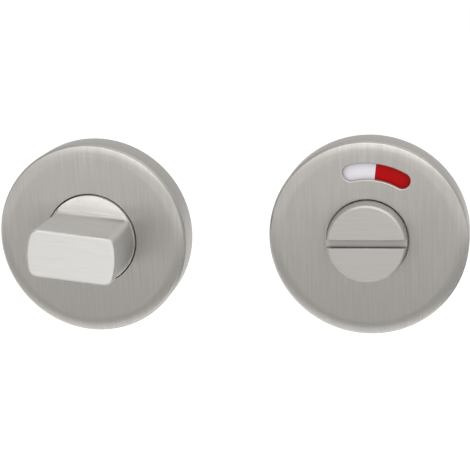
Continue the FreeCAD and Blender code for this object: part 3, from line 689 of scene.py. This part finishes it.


# Brushed finishes, by the name of their colour.
# The flank share of each finish is painted shade on its flanks and walls, and face is the facing range over
# which that shade fades out.
BRUSHED = {
    "rose_steel": dict(
        name="rose_steel_brushed", along=UPRIGHT, line_length=mm(16.0), line_width=mm(0.55), roughness=0.41,
        anisotropy=0.75, flank_shade=0.85, contrast=0.14),
    "turn_steel": dict(
        name="turn_steel_brushed", along=LEVEL, line_length=mm(11.0), line_width=mm(0.45), roughness=0.46,
        anisotropy=0.85, flank_shade=0.7, face=(0.93, 0.998)),
    "release_steel": dict(
        name="release_steel_brushed", along=LEVEL, line_length=mm(11.0), line_width=mm(0.45), roughness=0.47,
        anisotropy=0.5, flank_shade=0.94, face=(0.8, 0.985)),
}

# Finishes without brushing, by the name of their colour.
SKINS = {
    "plated_steel": dict(
        name="zinc_plate", roughness=0.27, metallic=1.0, skin_scale=2200.0, relief=mm(0.006), contrast=0.06),
    "spring_steel": dict(
        name="phosphated_spring", roughness=0.46, metallic=0.8, skin_scale=4200.0, relief=mm(0.008),
        contrast=0.18),
    "base_nylon": dict(
        name="black_nylon", roughness=0.5, metallic=0.0, skin_scale=3400.0, relief=mm(0.02), contrast=0.22),
    "bush_nylon": dict(
        name="natural_acetal", roughness=0.42, metallic=0.0, skin_scale=2600.0, relief=mm(0.008),
        contrast=0.03),
    "white_plastic": dict(
        name="indicator_white", roughness=0.4, metallic=0.0, skin_scale=1500.0, relief=mm(0.004),
        contrast=0.02, gleam=0.3),
    "red_plastic": dict(
        name="indicator_red", roughness=0.42, metallic=0.0, skin_scale=1500.0, relief=mm(0.004),
        contrast=0.05, gleam=0.08),
}


def finish(context, name, **extra):
    """The finish of that name, in the colour that the settings give it."""
    base = getattr(context.scene.lock_finish, name)
    if name in BRUSHED:
        return brushed_steel(base=base, **BRUSHED[name], **extra)
    return skinned(base=base, **SKINS[name])


# Rose covers.

def slot_points(radius, half_width, start, end):
    """A round-ended slot bent about the axis, between the centres of its ends."""
    far_end = spread(end, end + math.pi, WINDOW_END_STEPS)[1:-1]
    near_end = spread(start + math.pi, start + math.tau, WINDOW_END_STEPS)[1:-1]
    points = arc(radius + half_width, spread(start, end, WINDOW_STEPS))
    points += arc(half_width, far_end, radius * math.cos(end), radius * math.sin(end))
    points += arc(radius - half_width, spread(end, start, WINDOW_STEPS))
    points += arc(half_width, near_end, radius * math.cos(start), radius * math.sin(start))
    return points


def rounded(before, corner, after, radius, steps=EDGE_STEPS):
    """Points of the arc that rounds one corner of a profile."""
    before, corner, after = Vector(before), Vector(corner), Vector(after)
    back = (before - corner).normalized()
    ahead = (after - corner).normalized()
    half = back.angle(ahead) / 2
    centre = corner + (back + ahead).normalized() * radius / math.sin(half)
    start = corner + back * radius / math.tan(half) - centre
    end = corner + ahead * radius / math.tan(half) - centre
    return [tuple(centre + start.slerp(end, i / steps).normalized() * radius) for i in range(steps + 1)]


def rim_profile(sizes):
    """From the skirt's lower edge up the wall, over the facet and the rolled rim to the flat face."""
    bow = (sizes.rim_roll ** 2 + sizes.rim_drop ** 2) / (2.0 * sizes.rim_drop)
    roll_start = ROSE_RADIUS - sizes.rim_roll
    lean = math.asin(sizes.rim_roll / bow) - sizes.rim_facet / bow
    shoulder = (ROSE_RADIUS, ROSE_HEIGHT - sizes.rim_drop - sizes.rim_facet)
    crease = (roll_start + bow * math.sin(lean), ROSE_HEIGHT - bow + bow * math.cos(lean))
    inward = (crease[0] - math.cos(lean), crease[1] + math.sin(lean))
    profile = bend(ROSE_RADIUS - sizes.foot_edge, sizes.foot_edge, sizes.foot_edge, -90.0, 0.0)
    profile += rounded((ROSE_RADIUS, 0.0), shoulder, crease, sizes.rim_shoulder)
    profile += rounded(shoulder, crease, inward, sizes.rim_crease)
    start = 90.0 - math.degrees(math.asin((profile[-1][0] - roll_start) / bow))
    profile += bend(roll_start, ROSE_HEIGHT - bow, bow, start, 90.0, ROLL_STEPS)[1:]
    profile.append((profile[-1][0] - RIM_BAND, ROSE_HEIGHT))
    return profile


def hole_profile(sizes, hole_radius):
    """From the flat face over the hole's edge down to the underside."""
    edge = sizes.hole_edge
    profile = [(hole_radius + edge + HOLE_BAND, ROSE_HEIGHT)]
    profile += bend(hole_radius + edge, ROSE_HEIGHT - edge, edge, 90.0, 180.0)
    profile.append((hole_radius, ROSE_HEIGHT - sizes.wall))
    return profile


def inside_profile(sizes):
    """From the underside down the inside of the skirt, past the snap groove, to its lower edge."""
    inner = ROSE_RADIUS - sizes.wall
    ceiling = ROSE_HEIGHT - sizes.wall
    bevel = sizes.wall / 2
    return [
        (inner - bevel, ceiling),
        (inner, ceiling - bevel),
        (inner, sizes.groove_high),
        (sizes.groove_radius, sizes.groove_high),
        (sizes.groove_radius, sizes.groove_low),
        (inner, sizes.groove_low),
        (inner, 0.0),
    ]


def rose_cover(sizes, hole_radius, windowed):
    """One cover as a closed shell, with the indicator window or without."""
    bm = bmesh.new()
    outside = lathe(bm, rim_profile(sizes))
    hole = lathe(bm, hole_profile(sizes, hole_radius))
    inside = lathe(bm, inside_profile(sizes))
    strip(bm, inside[-1], outside[0])
    if windowed:
        middle = math.radians(90.0) - sizes.window_angle
        ends = (middle - sizes.window_span / 2, middle + sizes.window_span / 2)
        half = sizes.window_width / 2
        edge = sizes.window_edge
        depths = [(half + edge + WINDOW_BAND, 0.0)]
        depths += [(half + edge - x, z) for x, z in bend(0.0, -edge, edge, 90.0, 0.0)]
        depths.append((half, -sizes.wall))
        frames = []
        for reach, depth in depths:
            frames.append(loop(bm, slot_points(sizes.window_radius, reach, *ends), ROSE_HEIGHT + depth))
        loft(bm, frames)
        cap(bm, outside[-1], hole[0], frames[0])
        cap(bm, inside[0], hole[-1], frames[-1])
    else:
        strip(bm, outside[-1], hole[0])
        strip(bm, hole[-1], inside[0])
    return bm


class LOCK_OT_rose_covers(bpy.types.Operator):
    """Build both brushed rose covers, the second with its indicator window"""

    bl_idname = "lock.rose_covers"
    bl_label = "Rose covers"

    def execute(self, context):
        sizes = context.scene.lock_rose
        steel = finish(context, "rose_steel")
        plain = make_object("brushed_turn_cover", rose_cover(sizes, sizes.turn_hole, False), stand(0.0))
        dress(plain, steel, "roses", "turn_rose_cover", upright=True)
        windowed = make_object(
            "brushed_release_cover", rose_cover(sizes, sizes.release_hole, True), stand(RELEASE_X))
        dress(windowed, steel, "roses", "release_rose_cover", upright=True)
        return {"FINISHED"}


# Turning pieces.

def square_points(width):
    half = width / 2
    return [(half, half), (-half, half), (-half, -half), (half, -half)]


def add_shank(bm, sizes):
    """The shank with circlip groove and square socket, open at its top, where the returned ring lies."""
    profile = [
        (sizes.shank_radius, sizes.shank_top),
        (sizes.shank_radius, sizes.clip_high),
        (sizes.clip_radius, sizes.clip_high),
        (sizes.clip_radius, sizes.clip_low),
        (sizes.shank_radius, sizes.clip_low),
        (sizes.shank_radius, SHANK_TAIL + sizes.shank_chamfer),
        (sizes.shank_radius - sizes.shank_chamfer, SHANK_TAIL),
    ]
    rings = lathe(bm, profile)
    mouth = loop(bm, square_points(sizes.socket_width), SHANK_TAIL)
    floor = loop(bm, square_points(sizes.socket_width), sizes.socket_end)
    strip(bm, mouth, floor)
    cap(bm, floor)
    cap(bm, rings[-1], mouth)
    return rings[0]


def add_peg(bm, sizes, level):
    """The stop peg below a flat underside, which is left open round the returned loop."""
    points = arc(sizes.peg_radius, spread(0.0, math.tau, PEG_STEPS)[:-1], 0.0, sizes.peg_place)
    root = loop(bm, points, level)
    end = loop(bm, points, sizes.peg_end)
    strip(bm, root, end)
    cap(bm, end)
    return root


def grip_points(radius, half, corner, bow):
    """A bar between two flats with ends bowed to a radius, and with every corner rounded."""
    drop = half - corner
    middle = radius - bow
    reach = middle + math.sqrt((bow - corner) ** 2 - drop ** 2)
    lean = math.atan2(drop, reach - middle)
    quarter = arc(bow, spread(0.0, lean, CORNER_STEPS), middle)
    quarter += arc(corner, spread(lean, math.radians(90.0), CORNER_STEPS)[1:], reach, drop)
    quarter += [(reach * (1.0 - i / CORNER_STEPS), half) for i in range(1, CORNER_STEPS)]
    points = quarter + [(0.0, half)] + [(-x, y) for x, y in reversed(quarter)]
    return points + [(x, -y) for x, y in reversed(points[1:-1])]


def thumb_turn(sizes, shank):
    """The turn as one closed mesh: shank, foot, flared flanks and softly edged front."""
    bm = bmesh.new()
    half = sizes.grip_thickness / 2
    growth = sizes.grip_corner - sizes.foot_corner
    root_flare = sizes.foot_radius - sizes.foot_edge - sizes.grip_radius - FOOT_BAND
    sections = []
    for a in spread(0.0, math.radians(90.0), CORNER_STEPS):
        reach = half + sizes.foot_fillet * (1.0 - math.sin(a))
        radius = sizes.grip_radius + root_flare * (1.0 - math.sin(a))
        corner = sizes.foot_corner + growth * math.sin(a)
        level = sizes.foot_floor + sizes.foot_fillet * (1.0 - math.cos(a))
        sections.append(loop(bm, grip_points(radius, reach, corner, radius), level))
    edge = sizes.grip_edge
    front = [(edge - across, rise) for across, rise in bend(0.0, 0.0, edge, 0.0, 90.0)]
    outline = (sizes.grip_radius, half, sizes.front_corner, sizes.front_bow)
    for inset, rise in front + [(edge + GRIP_BAND, edge)]:
        points = grip_points(*(size - inset for size in outline))
        sections.append(loop(bm, points, TURN_FRONT - edge + rise))
    loft(bm, sections)
    cap(bm, sections[-1])
    edge = sizes.foot_edge
    rim = [(sizes.foot_radius, shank.shank_top)]
    rim += bend(sizes.foot_radius - edge, sizes.foot_floor - edge, edge, 0.0, 90.0)
    foot = lathe(bm, rim)
    cap(bm, foot[-1], sections[0])
    top = add_shank(bm, shank)
    cap(bm, foot[0], top, add_peg(bm, shank, shank.shank_top))
    return bm


class LOCK_OT_thumb_turn(bpy.types.Operator):
    """Build the thumb turn with its brushed grip, foot and shank"""

    bl_idname = "lock.thumb_turn"
    bl_label = "Thumb turn"

    def execute(self, context):
        shank = context.scene.lock_shank
        bm = thumb_turn(context.scene.lock_turn, shank)
        piece = make_object("brushed_thumb_turn", bm, stand(0.0, rest_angle("turn_hinge")))
        drill(piece, shank.pin_radius, shank.shank_radius * DRILL_REACH, -shank.pin_level)
        dress(piece, finish(context, "turn_steel"), "turn", "thumb_turn")
        return {"FINISHED"}


def half_head(radius, gap, upper):
    """The outline of the head on one side of the slot: an arc, then the slot's straight edge."""
    lean = math.asin(gap / radius)
    points = arc(radius, spread(lean, math.pi - lean, ARC_STEPS))
    width = radius * math.cos(lean)
    points += [(x, gap) for x in spread(-width, width, CHORD_STEPS)[1:-1]]
    return points if upper else [(-x, -y) for x, y in points]


def release_head(sizes, shank):
    """The release as one closed mesh: shank, hub, head and coin slot with softened edges."""
    bm = bmesh.new()
    gap = sizes.slot_width / 2
    lean = math.asin(gap / sizes.head_radius)
    upper = spread(lean, math.pi - lean, ARC_STEPS)
    left = spread(math.pi - lean, math.pi + lean, SIDE_STEPS)
    angles = upper + left[1:-1]
    angles += [a + math.pi for a in angles]
    slot_floor = HEAD_FRONT - sizes.slot_depth
    wall = lathe(bm, [(sizes.head_radius, sizes.hub_front), (sizes.head_radius, slot_floor)], angles)
    turn = len(angles) // 2
    edges = (wall[1][:ARC_STEPS + 1], wall[1][turn:turn + ARC_STEPS + 1])
    sides = (wall[1][ARC_STEPS:turn + 1], wall[1][turn + ARC_STEPS:] + wall[1][:1])
    chords = []
    heights = [HEAD_FRONT - sizes.head_edge]
    for tilt in spread(HEAD_EDGE_START, 90.0, CORNER_STEPS):
        heights.append(HEAD_FRONT - sizes.head_edge * (1.0 - math.sin(math.radians(tilt))))
    for is_upper, edge in zip((True, False), edges):
        flat = half_head(sizes.head_radius, gap, is_upper)[ARC_STEPS + 1:]
        chord = loop(bm, flat, slot_floor)
        chords.append(chord)
        below = edge + chord
        for level in heights + [None]:
            rise = HEAD_FRONT if level is None else level
            inset = rounding(sizes.head_edge, HEAD_FRONT - rise)
            back = rounding(sizes.slot_edge, HEAD_FRONT - rise)
            extra = HEAD_BAND if level is None else 0.0
            outline = half_head(sizes.head_radius - inset - extra, gap + back + extra, is_upper)
            above = loop(bm, outline, rise)
            strip(bm, below, above)
            below = above
        cap(bm, below)
    floor = sides[0] + list(reversed(chords[1])) + sides[1] + list(reversed(chords[0]))
    cap(bm, floor)
    hub = lathe(bm, [(sizes.hub_radius, sizes.hub_front), (sizes.hub_radius, shank.shank_top)])
    top = add_shank(bm, shank)
    strip(bm, hub[1], top)
    cap(bm, wall[0], hub[0], add_peg(bm, shank, sizes.hub_front))
    return bm


def rounding(radius, depth):
    """How far a rounded edge has drawn in, this far below the front."""
    rise = max(0.0, radius - depth)
    return radius - math.sqrt(max(0.0, radius ** 2 - rise ** 2))


class LOCK_OT_release_head(bpy.types.Operator):
    """Build the release head with its coin slot and shank"""

    bl_idname = "lock.release_head"
    bl_label = "Release head"

    def execute(self, context):
        sizes = context.scene.lock_release
        bm = release_head(sizes, context.scene.lock_shank)
        piece = make_object("brushed_release_head", bm, stand(RELEASE_X, rest_angle("release_hinge")))
        # The coin slot's half width and floor, over which its walls get painted shade.
        slot = (sizes.slot_width / 2 + sizes.slot_edge, HEAD_FRONT - sizes.slot_depth)
        steel = finish(context, "release_steel", slot=slot)
        dress(piece, steel, "release", "release_head")
        return {"FINISHED"}


def bar_points(width, edge):
    """A square with rounded corners."""
    inner = width / 2 - edge
    points = []
    for quarter, (x, y) in enumerate(square_points(inner * 2)):
        points += bend(x, y, edge, quarter * 90.0, quarter * 90.0 + 90.0, BAR_CORNER_STEPS)
    return points


class LOCK_OT_spindle(bpy.types.Operator):
    """Build the square spindle with softened edges and a chamfered tip"""

    bl_idname = "lock.spindle"
    bl_label = "Spindle"

    def execute(self, context):
        sizes = context.scene.lock_shank
        bm = bmesh.new()
        full = bar_points(sizes.spindle_width, sizes.spindle_edge)
        tip = bar_points(sizes.spindle_width - 2.0 * sizes.spindle_chamfer, sizes.spindle_edge)
        levels = spread(SPINDLE_TIP + sizes.spindle_chamfer, SPINDLE_END, BAR_STEPS)
        sections = [loop(bm, tip, SPINDLE_TIP)] + [loop(bm, full, level) for level in levels]
        loft(bm, sections)
        cap(bm, sections[0])
        cap(bm, sections[-1])
        piece = make_object("plated_spindle", bm, stand(0.0, rest_angle("turn_hinge")))
        drill(piece, sizes.pin_radius, sizes.spindle_width, -sizes.pin_level)
        dress(piece, finish(context, "plated_steel"), "turn", "turn_spindle")
        return {"FINISHED"}


# Fixing screws.

def cross_points(length, width):
    """The outline of a cross recess."""
    far = length / 2
    near = width / 2
    quarter = [(far, near), (near, near), (near, far)]
    points = []
    for turn in range(4):
        for x, y in quarter:
            for _ in range(turn):
                x, y = -y, x
            points.append((x, y))
    return points


def add_thread(bm, sizes, top, tip):
    """A helical thread on a tapering core, as one winding sheet of points."""
    step = sizes.pitch / PITCH_STEPS
    rows = math.ceil((top - tip) / step) + PITCH_STEPS + 1

    def point(row, column):
        turned = math.tau * column / SCREW_STEPS
        level = top + sizes.pitch - row * step - sizes.pitch * column / SCREW_STEPS
        level = min(top, level)
        crest = max(0.0, abs((row % PITCH_STEPS) / PITCH_STEPS - 0.5) * CREST_SLOPE - CREST_DROP)
        fade = min(1.0, (top - level) / sizes.pitch)
        taper = max(0.0, min(1.0, (level - tip) / sizes.point))
        radius = sizes.core_radius + (sizes.thread_radius - sizes.core_radius) * crest * fade
        radius *= BLUNT_POINT + (1.0 - BLUNT_POINT) * taper
        return (radius * math.cos(turned), radius * math.sin(turned), level)

    grid = [[bm.verts.new(point(row, column)) for column in range(SCREW_STEPS)]
            for row in range(rows + PITCH_STEPS + 1)]
    for row in range(rows):
        for column in range(SCREW_STEPS):
            if column + 1 < SCREW_STEPS:
                upper, lower = grid[row][column + 1], grid[row + 1][column + 1]
            else:
                upper, lower = grid[row + PITCH_STEPS][0], grid[row + PITCH_STEPS + 1][0]
            bm.faces.new((grid[row][column], upper, lower, grid[row + 1][column]))
    spare = [vert for vert in bm.verts if not vert.link_faces]
    bmesh.ops.delete(bm, geom=spare, context="VERTS")
    everything = bm.verts[:] + bm.edges[:] + bm.faces[:]
    bmesh.ops.bisect_plane(
        bm, geom=everything, plane_co=(0.0, 0.0, tip), plane_no=(0.0, 0.0, 1.0), clear_inner=True)


def screw(sizes):
    """A round-headed wood screw with a cross recess and a real thread, as one closed mesh."""
    bm = bmesh.new()
    seat = SCREW_TOP - sizes.head_height
    # The neck ends at the door face and narrows to the core by an even slope.
    thread_top = sizes.core_radius - sizes.neck_radius
    mouth = loop(bm, cross_points(sizes.drive_length, sizes.drive_width), SCREW_TOP)
    narrowed = cross_points(sizes.drive_length * DRIVE_FLOOR_LENGTH, sizes.drive_width * DRIVE_FLOOR_WIDTH)
    floor = loop(bm, narrowed, SCREW_TOP - sizes.drive_depth)
    strip(bm, mouth, floor)
    cap(bm, floor)
    edge = sizes.head_edge
    profile = bend(sizes.head_radius - edge, SCREW_TOP - edge, edge, 90.0, 0.0)
    profile += [(sizes.head_radius, seat), (sizes.neck_radius, seat)]
    profile += [(sizes.neck_radius, 0.0), (sizes.core_radius, thread_top)]
    rings = lathe(bm, profile, spread(0.0, math.tau, SCREW_STEPS)[:-1])
    cap(bm, rings[0], mouth)
    add_thread(bm, sizes, thread_top, SCREW_TIP)
    bmesh.ops.remove_doubles(bm, verts=bm.verts, dist=WELD_REACH)
    bmesh.ops.dissolve_degenerate(bm, edges=bm.edges, dist=WELD_REACH)
    bmesh.ops.holes_fill(bm, edges=bm.edges, sides=0)
    return bm


class LOCK_OT_screws(bpy.types.Operator):
    """Build the four fixing screws with their threads"""

    bl_idname = "lock.screws"
    bl_label = "Fixing screws"

    def execute(self, context):
        plate = finish(context, "plated_steel")
        for half in ("turn", "release"):
            for side in ("left", "right"):
                node = half + "_screw_" + side
                low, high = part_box(node)
                place = stand((low[0] + high[0]) / 2)
                piece = make_object("threaded_" + node, screw(context.scene.lock_screw), place)
                dress(piece, plate, "roses", node)
        return {"FINISHED"}


class LOCK_OT_fittings(bpy.types.Operator):
    """Finish the moulded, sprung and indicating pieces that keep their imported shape"""

    bl_idname = "lock.fittings"
    bl_label = "Plates, bushes, springs and indicator"

    def execute(self, context):
        finishes = {
            "base_nylon": ("turn_base_plate", "release_base_plate"),
            "bush_nylon": ("turn_bush", "release_bush"),
            "spring_steel": (
                "spindle_pin", "turn_disc_spring", "release_disc_spring", "turn_circlip", "release_circlip"),
            "white_plastic": ("indicator_disc",),
            "red_plastic": ("indicator_red_field",),
        }
        for name, nodes in finishes.items():
            for node in nodes:
                for slot in frame["nodes"][node].material_slots:
                    slot.material = finish(context, name)
        return {"FINISHED"}


# Stage.

def add_light(name, place, target, width, height, power):
    """A soft rectangular light that faces its target."""
    light = bpy.data.lights.new(name, "AREA")
    light.shape = "RECTANGLE"
    light.size = width
    light.size_y = height
    light.energy = power
    lamp = bpy.data.objects.new(name, light)
    bpy.context.collection.objects.link(lamp)
    lamp.location = place
    lamp.rotation_mode = "QUATERNION"
    lamp.rotation_quaternion = (Vector(target) - Vector(place)).to_track_quat("-Z", "Y")
    lamp.visible_camera = False


class LOCK_OT_stage(bpy.types.Operator):
    """Lay the pale floor, set the soft lights and stand the camera"""

    bl_idname = "lock.stage"
    bl_label = "Stage"

    def execute(self, context):
        sizes = context.scene.lock_stage
        scene = context.scene
        scene.view_settings.view_transform = "Standard"
        reach = sizes.floor_reach
        level = -sizes.floor_drop
        floor = self.lay_plane("pale_floor", (-reach, -reach), (reach, reach), level)
        self.paint(floor, sizes.floor_white, sizes.matt, sizes.floor_glow)
        # Only reflections see the cards: they give the steel something darker to mirror.
        cards = {
            "front_card": ((-sizes.card_reach, -sizes.card_far), (sizes.card_reach, -sizes.card_near)),
            "side_card": ((sizes.side_start, -sizes.side_front), (sizes.card_reach, sizes.side_back)),
        }
        for name, (low, high) in cards.items():
            card = self.lay_plane(name, low, high, level + sizes.card_lift)
            self.paint(card, sizes.card_grey, sizes.matt, 0.0)
            card.visible_camera = False
            card.visible_diffuse = False
            card.visible_shadow = False
        self.set_world(scene, sizes)
        place = (sizes.key_across, -sizes.key_front, sizes.key_height)
        middle = (sizes.target_across, 0.0, 0.0)
        add_light("key_softbox", place, middle, sizes.key_width, sizes.key_depth, sizes.key_power)
        self.stand_camera(scene, sizes)
        return {"FINISHED"}

    def lay_plane(self, name, low, high, level):
        """A flat rectangle, by its corners and level."""
        bm = bmesh.new()
        bm.faces.new(loop(bm, [low, (high[0], low[1]), high, (low[0], high[1])], level))
        plane = make_object(name, bm, Matrix.Identity(4))
        return plane

    def paint(self, plane, tint, matt, glow):
        """A matt coat in one tint, which may give off light."""
        material, _, shader = new_material(plane.name)
        plane.data.materials.append(material)
        set_inputs(shader, {
            "Base Color": shade(tint, 1.0), "Roughness": matt, "Specular IOR Level": 0.0,
            "Emission Color": WHITE, "Emission Strength": glow,
        })

    def set_world(self, scene, sizes):
        world = bpy.data.worlds.new("soft_room")
        world.use_nodes = True
        scene.world = world
        set_inputs(world.node_tree.nodes["Background"], {"Color": WHITE, "Strength": sizes.room_light})

    def stand_camera(self, scene, sizes):
        lean = math.cos(sizes.camera_elevation)
        back = Vector((
            math.sin(sizes.camera_azimuth) * lean,
            -math.cos(sizes.camera_azimuth) * lean,
            math.sin(sizes.camera_elevation),
        ))
        data = bpy.data.cameras.new("photo_camera")
        data.lens = sizes.lens
        data.clip_start = sizes.clip_start
        camera = bpy.data.objects.new("photo_camera", data)
        bpy.context.collection.objects.link(camera)
        target = Vector((sizes.target_across, 0.0, sizes.target_height))
        camera.location = target + back * sizes.camera_distance
        camera.rotation_mode = "QUATERNION"
        upright = (-back).to_track_quat("-Z", "Y")
        camera.rotation_quaternion = upright @ Quaternion((0.0, 0.0, 1.0), sizes.camera_roll)
        scene.camera = camera


OPERATORS = (
    LOCK_OT_rose_covers,
    LOCK_OT_thumb_turn,
    LOCK_OT_release_head,
    LOCK_OT_spindle,
    LOCK_OT_screws,
    LOCK_OT_fittings,
    LOCK_OT_stage,
)

SETTINGS = {
    "lock_rose": RoseSizes,
    "lock_turn": TurnSizes,
    "lock_release": ReleaseSizes,
    "lock_shank": ShankSizes,
    "lock_screw": ScrewSizes,
    "lock_finish": FinishColours,
    "lock_stage": StageSizes,
}


class LOCK_PT_set(bpy.types.Panel):
    """Buttons for the pieces of the lock set and its stage"""

    bl_idname = "LOCK_PT_set"
    bl_label = "Lock set"
    bl_space_type = "VIEW_3D"
    bl_region_type = "UI"
    bl_category = "Lock set"

    def draw(self, context):
        for operator in OPERATORS:
            self.layout.operator(operator.bl_idname)


def register():
    for kind in (*SETTINGS.values(), *OPERATORS, LOCK_PT_set):
        bpy.utils.register_class(kind)
    for name, kind in SETTINGS.items():
        setattr(bpy.types.Scene, name, bpy.props.PointerProperty(type=kind))


def unregister():
    for name in SETTINGS:
        delattr(bpy.types.Scene, name)
    for kind in (LOCK_PT_set, *reversed(OPERATORS), *SETTINGS.values()):
        bpy.utils.unregister_class(kind)


def main():
    register()
    bpy.ops.lock.rose_covers()
    bpy.ops.lock.thumb_turn()
    bpy.ops.lock.release_head()
    bpy.ops.lock.spindle()
    bpy.ops.lock.screws()
    bpy.ops.lock.fittings()
    bpy.ops.lock.stage()


if __name__ == "__main__":
    main()
